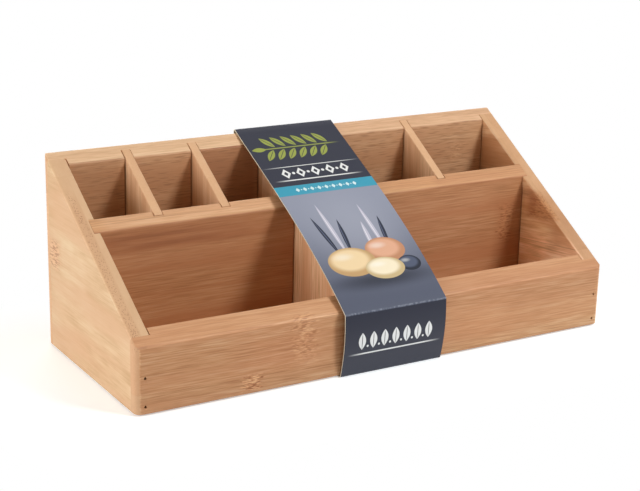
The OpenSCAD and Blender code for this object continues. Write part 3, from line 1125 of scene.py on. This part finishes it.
                        Region(-17.1, 30, 5.9, 0.5, 26, 1.6, 0.1, gain=JOINT_SHADE)) + joint_shade),
            "base_panel": BambooBoard(
                "bamboo_base", Grain.ALONG_BOX, "#9c6b43", "#c8a075", "#dab78c", "#bf8f66",
                strip=36, ply=6, seed=6),
            "front_divider": BambooBoard(
                "bamboo_front_divider", Grain.UPRIGHT, "#bf926b", "#e4b48b", "#f2cda9", "#d8a178",
                strip_start=2, strip=24, ply=5, ply_start=-17.5, seed=7, contrast=0.7),
        }
        for i in range(1, 6):
            finishes[f"rear_divider_{i}"] = BambooBoard(
                f"bamboo_rear_divider_{i}", Grain.UPRIGHT, "#b38962", "#dbae88", "#edcaa8", "#cc9972",
                strip_start=22.0 + i, strip=23, ply=400, ply_start=-200, seed=10.0 + i, contrast=0.42)
        return finishes


@dataclass
class Brads:
    """Wire brads that pin the front and the back to the sides.

    Attributes:
        nodes: The frame's objects by name.
        names: The frame's nodes that hold the brads.
    """

    nodes: Dict[str, Piece]
    names: Tuple[str, ...] = ("front_brads", "back_brads")

    def dress(self) -> None:
        """Gives the brads their darkened wire."""
        wire = BradWire()
        material = wire.material()
        for name in self.names:
            self.nodes[name].data.materials.clear()
            self.nodes[name].data.materials.append(material)
            LOG.info("finish %s on %s", wire.name, name)


@dataclass
class CardSleeve:
    """Band of printed card, folded round the box and glued in a lap on its back.

    The fields that end in _y and _z are places of the strip's inner face, seen from its right.

    Attributes:
        node: The frame's node that the sleeve replaces.
        body: The body that the sleeve rides on.
        card: Thickness of the card.
        middle_x: Middle of the sleeve along the box.
        width: Its width.
        skew: How far it slants along the box for each millimetre of depth.
        back_y: Inner face behind the box.
        front_fold_gap: Distance of the upper front crease from the box.
        foot_gap: Distance of the lower front crease from the box.
        box_half: Half the box's depth.
        floor_z: Inner face under the box.
        slope_foot_z: Height of the slope at the box's front.
        slope_rise: Rise of the slope for each millimetre of depth.
        back_fold_lift: Height of the back crease over the slope.
        back_bow: Pull of the arch's rear half away from the slope.
        front_bow: Pull of its front half.
        front_fold_lift: Height of the upper front crease over the slope.
        front_bulge: Bulge of the front face.
        lap_low_z: Lower edge of the glued lap.
        lap_high_z: Inner end of the strip, under the lap.
        step_h: Height over which the lap steps over that end.
        glue: Thickness of the glue under the lap.
        crease_r: Radius of the creases.
        crease_steps: Faces round a crease.
        top_steps: Faces along the arch.
        bulge_steps: Faces along the front.
        stripe_from_fold: Start and end of the coloured stripe from the back crease.
        panel_past_fold: Distance that the hazy panel runs on past the upper front crease.
        smooth: Angle in degrees up to which faces are shaded as one.
        lengths: Length of the strip up to each point of its path.
        creases: Length up to each crease.
        strip: The folded strip.
    """

    node: str = "card_sleeve"
    body: str = "sleeve"
    card: float = 0.4
    middle_x: float = 0.5
    width: float = 50.0
    skew: float = 0.012
    back_y: float = 46.48
    front_fold_gap: float = 3.0
    foot_gap: float = 0.6
    box_half: float = 46.0
    floor_z: float = 0.4
    slope_foot_z: float = 28.0
    slope_rise: float = 57.2 / 92.0
    back_fold_lift: float = 0.5
    back_bow: float = 3.0
    front_bow: float = 8.3
    front_fold_lift: float = 1.5
    front_bulge: float = 1.2
    lap_low_z: float = 12.0
    lap_high_z: float = 26.0
    step_h: float = 1.2
    glue: float = 0.02
    crease_r: float = 0.5
    crease_steps: int = 4
    top_steps: int = 24
    bulge_steps: int = 12
    stripe_from_fold: Tuple[float, float] = (40.3, 46.2)
    panel_past_fold: float = 0.3
    smooth: float = 30.0
    lengths: List[float] = field(default_factory=list)
    creases: Dict[str, float] = field(default_factory=dict)
    strip: Optional[Piece] = None

    def _slope_z(self, y: float) -> float:
        """Gives the height of the boards' slope at a depth."""
        return self.slope_foot_z + self.slope_rise * (y + self.box_half)

    def _corners(self) -> Tuple[List[Point], List[Point]]:
        """Works out the top's arch and the front's bulge.

        Returns:
            The arch's points from the back fold to the front fold, and the bulge's points from
            just below the front fold to the foot.
        """
        fold_y = -self.box_half - self.front_fold_gap
        ys = [self.back_y, (2 * self.back_y + fold_y) / 3, (self.back_y + 2 * fold_y) / 3, fold_y]
        lifts = [self.back_fold_lift, self.back_bow, self.front_bow, self.front_fold_lift]
        guides = [(y, self._slope_z(y) + lift) for y, lift in zip(ys, lifts)]
        arch = []
        for i in range(self.top_steps + 1):
            t = i / self.top_steps
            shares = ((1 - t) ** 3, 3 * t * (1 - t) ** 2, 3 * t * t * (1 - t), t ** 3)
            arch.append(tuple(sum(s * g[k] for s, g in zip(shares, guides)) for k in (0, 1)))
        fold, foot = arch[-1], (-self.box_half - self.foot_gap, self.floor_z)
        bulge = []
        for i in range(1, self.bulge_steps + 1):
            t = i / self.bulge_steps
            y = fold[0] + (foot[0] - fold[0]) * t - self.front_bulge * math.sin(math.pi * t)
            bulge.append((y, fold[1] + (foot[1] - fold[1]) * t))
        return arch, bulge

    def _round(self, before: Point, corner: Point, after: Point) -> List[Point]:
        """Rounds one crease of the strip.

        Args:
            before: Point before the crease.
            corner: The crease.
            after: Point after it.

        Returns:
            The points of its arc.
        """
        p, a, b = Vector(corner), Vector(before), Vector(after)
        u, v = (a - p).normalized(), (b - p).normalized()
        half = u.angle(v) / 2
        # An arc takes less than half of either side, so that two creases never meet
        longest = 0.45 * min((a - p).length, (b - p).length)
        reach = min(self.crease_r / math.tan(half), longest)
        radius = reach * math.tan(half)
        centre = p + (u + v).normalized() * radius / math.sin(half)
        start, end = p + u * reach - centre, p + v * reach - centre
        turn = start.angle_signed(end)
        arc = []
        for i in range(self.crease_steps + 1):
            w = -turn * i / self.crease_steps
            arc.append((centre.x + start.x * math.cos(w) - start.y * math.sin(w),
                        centre.y + start.x * math.sin(w) + start.y * math.cos(w)))
        return arc

    def _path(self) -> Tuple[List[Point], Dict[str, Point]]:
        """Lays the strip's inner face out, from its inner end on the back, down, round and back to its lap.

        Returns:
            The points, and the creases by name.
        """
        arch, bulge = self._corners()
        inner_end = (self.back_y, self.lap_high_z)
        heel = (self.back_y, self.floor_z)
        foot = bulge[-1]
        fold, back = arch[-1], arch[0]
        lap_y = self.back_y + self.card + self.glue
        path: List[Point] = [inner_end]
        path += self._round(inner_end, heel, foot)
        path += self._round(heel, foot, bulge[-2])
        path += list(reversed(bulge[:-1]))
        path += self._round(bulge[0], fold, arch[-2])
        path += list(reversed(arch[1:-1]))
        step_top = (self.back_y, self.lap_high_z + self.step_h + self.card)
        path += self._round(arch[1], back, step_top)
        path += [step_top, (lap_y, self.lap_high_z + self.card), (lap_y, self.lap_low_z)]
        return path, {"heel": heel, "foot": foot, "fold": fold, "back": back}

    def build(self) -> None:
        """Folds the strip: draws an edge out step by step along the path, then thickens the card."""
        path, creases = self._path()
        self.lengths = [0.0]
        for a, b in zip(path, path[1:]):
            self.lengths.append(self.lengths[-1] + math.dist(a, b))
        self.creases = {name: self._length_at(path, point) for name, point in creases.items()}
        first = path[0]
        bpy.ops.object.select_all(action="DESELECT")
        bpy.ops.mesh.primitive_plane_add(size=1.0, calc_uvs=False)
        strip = bpy.context.active_object
        strip.name = "printed_sleeve"
        bpy.ops.object.mode_set(mode="EDIT")
        work = bmesh.from_edit_mesh(strip.data)
        bpy.ops.mesh.select_all(action="DESELECT")
        for vert in work.verts:
            if vert.co.y > 0:
                vert.select_set(True)
        work.select_flush(True)
        bpy.ops.mesh.delete(type="VERT")
        bpy.ops.mesh.select_all(action="SELECT")
        work = bmesh.from_edit_mesh(strip.data)
        for vert in work.verts:
            side = 1 if vert.co.x > 0 else -1
            x = self.middle_x + side * self.width / 2 - self.skew * first[0]
            vert.co = Vector((x, first[0], first[1])) * MM
        bmesh.update_edit_mesh(strip.data)
        for a, b in zip(path, path[1:]):
            move = Vector((-self.skew * (b[0] - a[0]), b[0] - a[0], b[1] - a[1])) * MM
            bpy.ops.mesh.extrude_region_move(TRANSFORM_OT_translate={"value": move})
        bpy.ops.object.mode_set(mode="OBJECT")
        self._lay_uv(strip, path)
        self._thicken(strip)
        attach(strip, self.body)
        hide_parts(self.node)
        self.strip = strip
        faces = len(strip.data.polygons)
        LOG.info("sleeve %s: %d faces, strip of %.0f mm", strip.name, faces, self.lengths[-1])

    def _length_at(self, path: Sequence[Point], point: Point) -> float:
        """Gives the strip's length up to the path's point that is nearest to a point."""
        near = min(range(len(path)), key=lambda i: math.dist(path[i], point))
        return self.lengths[near]

    def _lay_uv(self, strip: Piece, path: Sequence[Point]) -> None:
        """Maps the strip flat, as it is printed.

        Args:
            strip: The strip, one row of faces.
            path: Points of its path.
        """
        layer = strip.data.uv_layers.new(name="print")
        card = PrintedCard()
        for loop in strip.data.loops:
            co = strip.data.vertices[loop.vertex_index].co / MM
            near = min(range(len(path)), key=lambda i: math.dist(path[i], (co.y, co.z)))
            across = co.x - self.middle_x + self.skew * co.y
            along = self.creases["back"] - self.lengths[near]
            layer.data[loop.index].uv = (across / card.uv_span, along / card.uv_span)

    def _thicken(self, strip: Piece) -> None:
        """Thickens the card outwards, with slots for its print, its inside and its cut edges.

        Args:
            strip: The strip, with no thickness yet.
        """
        only(strip)
        strip.data.update()
        wall = strip.modifiers.new("card", "SOLIDIFY")
        wall.thickness = self.card * MM
        wall.offset = self._outward(strip)
        wall.use_even_offset = True
        wall.material_offset = 1
        wall.material_offset_rim = 2
        for _ in range(3):
            strip.data.materials.append(None)
        bpy.ops.object.modifier_apply(modifier=wall.name)
        bpy.ops.object.shade_smooth_by_angle(angle=math.radians(self.smooth))

    def _outward(self, strip: Piece) -> float:
        """Tells which way the strip's faces point.

        Args:
            strip: The strip, with no thickness yet.

        Returns:
            The offset that puts the thickness outside.
        """
        middle = Vector((0, 0, 30)) * MM
        face = max(strip.data.polygons, key=lambda f: f.area)
        return 1.0 if face.normal.dot(face.center - middle) > 0 else -1.0

    def dress(self) -> None:
        """Prints the sleeve and finishes its bare inside and its cut edges."""
        card = PrintedCard()
        creases = {name: self.creases["back"] - length for name, length in self.creases.items()}
        panel_end = creases["fold"] + self.panel_past_fold
        printed = card.material(sorted(creases.values()), self.stripe_from_fold, panel_end,
                                self._shapes(creases["fold"], creases["foot"]))
        inside = BareCard("card_inside", "#b9b2a4", "#8f877a").material()
        edge = BareCard("card_edge", "#e4dcc6", "#bdb39c").material()
        for i, material in enumerate((printed, inside, edge)):
            self.strip.data.materials[i] = material
        LOG.info("finish %s, card_inside and card_edge on %s", card.name, self.strip.name)

    def _shapes(self, fold: float, foot: float) -> List[PrintedShape]:
        """Designs the print: a sprig, a border of diamonds, pebbles with reeds, and leaves on the front.

        Args:
            fold: Distance of the upper front fold from the back fold.
            foot: Distance of the lower front fold.

        Returns:
            The shapes, the lowest first.
        """
        olive, white, navy, ice = "#98a24f", "#e9ebee", "#2e303e", "#d6ecf2"
        leaf, bar, disc, diamond = Motif.LEAF, Motif.BAR, Motif.DISC, Motif.DIAMOND
        shapes = [
            # Sprig: a thin stem with leaves on both sides, each with its vein left open
            PrintedShape(bar, -1, 15.5, 18.5, 0.32, olive),
            PrintedShape(leaf, -0.6, 11.2, 1.55, 4.3, olive, copies=6, pitch=5.4, lean=-38),
            PrintedShape(leaf, -2.4, 19.8, 1.55, 4.3, olive, copies=6, pitch=5.4, lean=38),
            PrintedShape(bar, -0.6, 11.2, 0.14, 3.2, navy, copies=6, pitch=5.4, lean=-38),
            PrintedShape(bar, -2.4, 19.8, 0.14, 3.2, navy, copies=6, pitch=5.4, lean=38),
            PrintedShape(leaf, -20, 15.5, 1.4, 3.6, olive, lean=90),
            # Border: diamonds with open middles between two hairlines
            PrintedShape(bar, 0, 28.2, 18.4, 0.2, white),
            PrintedShape(bar, 0, 36.9, 18.4, 0.32, white),
            PrintedShape(diamond, 0, 32.5, 2.3, 3.1, white, copies=5, pitch=7.4),
            PrintedShape(diamond, 0, 32.5, 1, 1.4, navy, copies=5, pitch=7.4),
            PrintedShape(disc, 0, 32.5, 0.75, 0.75, white, copies=4, pitch=7.4),
        ]
        middle = sum(self.stripe_from_fold) / 2
        shapes += [
            PrintedShape(diamond, 0, middle, 1, 1.25, ice, copies=9, pitch=3.6),
            PrintedShape(disc, 0, middle, 0.32, 0.32, ice, copies=8, pitch=3.6),
            # Glow behind the reeds, and the soft shadow that the pebbles cast
            PrintedShape(disc, 1, 70, 17, 17, "#b2b6c8", soft=0.9, strength=0.4),
            PrintedShape(disc, 1, 97.6, 20, 3.6, "#20222e", soft=0.8, strength=0.75),
        ]
        reeds = ((-15, 12, -10), (-10.5, 15.5, -3), (-6.5, 10.5, 6), (9, 14, -2),
                 (13, 10, 9), (4.5, 9, 5))
        for i, (across, half, lean) in enumerate(reeds):
            ink, shine = (("#2c3142", "#59607a"), ("#c3c1d4", "#e4e3ee"))[i % 2]
            shapes.append(PrintedShape(leaf, across, 84.0 - half, 1.05, half, ink, lean=lean))
            shapes.append(PrintedShape(leaf, across - 0.2, 83.0 - half, 0.22, half * 0.8, shine, lean=lean))
        shapes += self._pebble(8.8, 83, 9.6, 6.6, "#c08a6a", "#e0ac90")
        shapes += self._pebble(-9.5, 87, 11.4, 7.6, "#c39f72", "#efd5ac")
        shapes += self._pebble(16.8, 91.8, 5.4, 4, "#232734", "#50586f")
        shapes += self._pebble(4.2, 92.4, 9.4, 5.6, "#cbb489", "#f6e9cf")
        face = (fold + foot) / 2
        shapes += [
            # Painted light: the front face is printed lighter towards its foot, as if the pale floor lit it
            PrintedShape(bar, 0, foot, 200, 16, "#484a56", soft=0.9, strength=0.8),
            PrintedShape(leaf, 0, face - 1.4, 1.75, 3.7, white, copies=7, pitch=5.5),
            PrintedShape(bar, 0, face - 1.4, 0.14, 2.6, navy, copies=7, pitch=5.5),
            PrintedShape(disc, 0, face + 1, 0.5, 0.5, white, copies=6, pitch=5.5),
            PrintedShape(bar, 0, face + 4.2, 19, 0.32, white),
        ]
        return shapes

    def _pebble(self, across: float, along: float, wide: float, long: float, shade: str,
                light: str) -> List[PrintedShape]:
        """Draws one smooth pebble: its outline, its lit body and a highlight.

        Args:
            across: Its middle across the strip.
            along: Its middle along the strip.
            wide: Half its width.
            long: Half its length.
            shade: Colour of its shaded rim.
            light: Colour of its lit body.

        Returns:
            The shapes, the lowest first.
        """
        body = (across - 0.05 * wide, along - 0.14 * long, 0.8 * wide, 0.74 * long)
        gleam = (across - 0.3 * wide, along - 0.4 * long, 0.34 * wide, 0.2 * long)
        return [
            PrintedShape(Motif.DISC, across, along, wide, long, shade),
            PrintedShape(Motif.DISC, *body, light, soft=0.22),
            PrintedShape(Motif.DISC, *gleam, "#ffffff", soft=0.8, strength=0.35),
        ]


@dataclass(frozen=True)
class SoftLamp:
    """Square soft lamp that points at the box.

    Attributes:
        name: Name of the lamp.
        place: Its middle.
        size: Its side.
        power: Its power in watts.
        tint: Colour of its light.
        aim: The point that it faces.
    """

    name: str
    place: Triple
    size: float
    power: float
    tint: str
    aim: Triple = (0.0, 0.0, 30.0)

    def hang(self) -> None:
        """Adds the lamp to the scene."""
        data = bpy.data.lights.new(self.name, "AREA")
        data.shape, data.size, data.energy = "SQUARE", self.size * MM, self.power
        data.color = to_linear(self.tint)[:3]
        lamp = bpy.data.objects.new(self.name, data)
        place = Vector(self.place) * MM
        turn = (Vector(self.aim) * MM - place).to_track_quat("-Z", "Y")
        lamp.matrix_world = Matrix.Translation(place) @ turn.to_matrix().to_4x4()
        bpy.context.scene.collection.objects.link(lamp)


@dataclass
class Studio:
    """Pale floor, soft lamps and the camera of the photograph.

    The camera's place and angles come from a fit to the box's edges in the photograph.

    Attributes:
        camera_place: Place of the camera.
        camera_azimuth: Degrees that it stands to the left of the box's front.
        camera_elevation: Degrees that it looks down.
        camera_roll: Degrees that it is turned about its view.
        lens: Its focal length.
        sensor: Width of its sensor.
        lamps: The soft lamps.
        floor_size: Side of the floor.
        floor_colour: Paint of the floor.
        floor_glow: Light that the floor adds to what the camera sees of it.
        floor_drop: Distance of the floor below the sleeve.
        footprint: Half sizes of the box on the floor.
        shadow_reach: Distances from the footprint between which the floor fades to white.
        sky: Strength of the world's light.
        sky_tint: Colour of the world's light.
    """

    camera_place: Triple = (-328.3, -531.5, 228.9)
    camera_azimuth: float = 31.16
    camera_elevation: float = 16.75
    camera_roll: float = 1.33
    lens: float = 83.84
    sensor: float = 36.0
    lamps: Tuple[SoftLamp, ...] = (
        SoftLamp("key_softbox", (450.0, -620.0, 680.0), 280.0, 6.8, "#f4fbff"),
        SoftLamp("left_softbox", (-1300.0, 60.0, 420.0), 800.0, 12.0, "#fafdff"),
        SoftLamp("top_softbox", (-150.0, 150.0, 1700.0), 1300.0, 1.6, "#ffffff"),
        SoftLamp("back_softbox", (500.0, 1400.0, 600.0), 900.0, 11.0, "#ffffff"))
    floor_size: float = 8000.0
    floor_colour: str = "#eef2f7"
    floor_glow: float = 0.4
    floor_drop: float = 0.05
    footprint: Triple = (115.0, 46.0, 0.0)
    shadow_reach: Tuple[float, float] = (2.0, 55.0)
    sky: float = 0.29
    sky_tint: str = "#ffe6b8"

    def build(self) -> None:
        """Sets the camera, the floor, the lamps and the world up."""
        self._camera()
        self._floor()
        for lamp in self.lamps:
            lamp.hang()
        self._world()
        LOG.info("studio: camera, floor, %d lamps and the world", len(self.lamps))

    def _camera(self) -> None:
        """Puts the camera where the photograph was taken from."""
        data = bpy.data.cameras.new("photo_camera")
        data.sensor_fit, data.sensor_width, data.lens = "HORIZONTAL", self.sensor, self.lens
        data.clip_start, data.clip_end = 0.01, 100.0
        camera = bpy.data.objects.new("photo_camera", data)
        aim = Euler((math.radians(90 - self.camera_elevation), 0, math.radians(-self.camera_azimuth)), "XYZ")
        turn = aim.to_matrix() @ Matrix.Rotation(math.radians(self.camera_roll), 3, "Z")
        camera.matrix_world = Matrix.Translation(Vector(self.camera_place) * MM) @ turn.to_4x4()
        bpy.context.scene.collection.objects.link(camera)
        bpy.context.scene.camera = camera

    def _floor(self) -> None:
        """Lays the pale floor that the box stands on."""
        bpy.ops.object.select_all(action="DESELECT")
        bpy.ops.mesh.primitive_plane_add(size=self.floor_size * MM, location=(0, 0, -self.floor_drop * MM))
        floor = bpy.context.active_object
        floor.name = "floor"
        material = new_material("pale_floor")
        tree = material.node_tree
        seen = self._seen(tree)
        # Matt paint, which scatters light evenly, with a glow that only camera and mirrors see
        paint = add_node(tree, "BsdfDiffuse", {"Color": to_linear(self.floor_colour)})
        lift = add_node(tree, "Math", {"operation": "MULTIPLY", 1: self.floor_glow}, {0: seen})
        glow = add_node(tree, "Emission", {"Color": WHITE}, {"Strength": lift})
        both = add_node(tree, "AddShader", links={0: paint, 1: glow})
        # Away from the box, where no shadow falls, the floor looks as white as the background
        place = add_node(tree, "TexCoord").outputs["Object"]
        size = add_node(tree, "VectorMath", {"operation": "ABSOLUTE"}, {0: place})
        past = add_node(tree, "VectorMath", {
            "operation": "SUBTRACT", 1: [half * MM for half in self.footprint]}, {0: size})
        past = add_node(tree, "VectorMath", {"operation": "MAXIMUM", 1: (0, 0, 0)}, {0: past})
        far = add_node(tree, "VectorMath", {"operation": "LENGTH"}, {0: past})
        fade = add_node(tree, "MapRange", {
            "From Min": self.shadow_reach[0] * MM, "From Max": self.shadow_reach[1] * MM,
            "interpolation_type": "SMOOTHSTEP"}, {"Value": far})
        share = add_node(tree, "Math", {"operation": "MULTIPLY"}, {0: fade, 1: seen})
        white = add_node(tree, "Emission", {"Color": WHITE, "Strength": 1.0})
        surface = add_node(tree, "MixShader", links={0: share, 1: both, 2: white})
        add_node(tree, "OutputMaterial", links={"Surface": surface})
        floor.data.materials.append(material)
        floor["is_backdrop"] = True

    def _seen(self, tree: Tree) -> Source:
        """Tells the rays that show the background apart from those that light the box.

        Args:
            tree: Node tree of the floor or the world.

        Returns:
            The mask of the rays from the camera, a reflection or glass.
        """
        rays = add_node(tree, "LightPath").outputs
        some = add_node(tree, "Math", {"operation": "MAXIMUM"},
                        {0: rays["Is Camera Ray"], 1: rays["Is Glossy Ray"]})
        return add_node(tree, "Math", {"operation": "MAXIMUM"},
                        {0: some, 1: rays["Is Transmission Ray"]})

    def _world(self) -> None:
        """Makes the world a soft white sky that looks plain white behind the box."""
        world = bpy.data.worlds.new("white_studio")
        bpy.context.scene.world = world
        world.use_nodes = True
        tree = world.node_tree
        tree.nodes.clear()
        seen = self._seen(tree)
        strength = add_node(tree, "MapRange", {"To Min": self.sky, "To Max": 1.0}, {"Value": seen})
        colour = add_node(tree, "Mix", {
            "data_type": "RGBA", 6: to_linear(self.sky_tint), 7: WHITE}, {0: seen})
        light = add_node(tree, "Background", links={"Color": colour, "Strength": strength})
        add_node(tree, "OutputWorld", links={"Surface": light})


def main() -> None:
    """Builds and dresses every sub-assembly."""
    logging.basicConfig(level=logging.INFO, format="%(name)s: %(message)s")
    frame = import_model()
    bpy.context.scene.view_settings.view_transform = "Standard"
    Studio().build()
    box = WoodenBox(frame["nodes"])
    box.build()
    box.dress()
    Brads(frame["nodes"]).dress()
    sleeve = CardSleeve()
    sleeve.build()
    sleeve.dress()
    bpy.context.view_layer.update()
    LOG.info("sizes written")


if __name__ == "__main__":
    main()
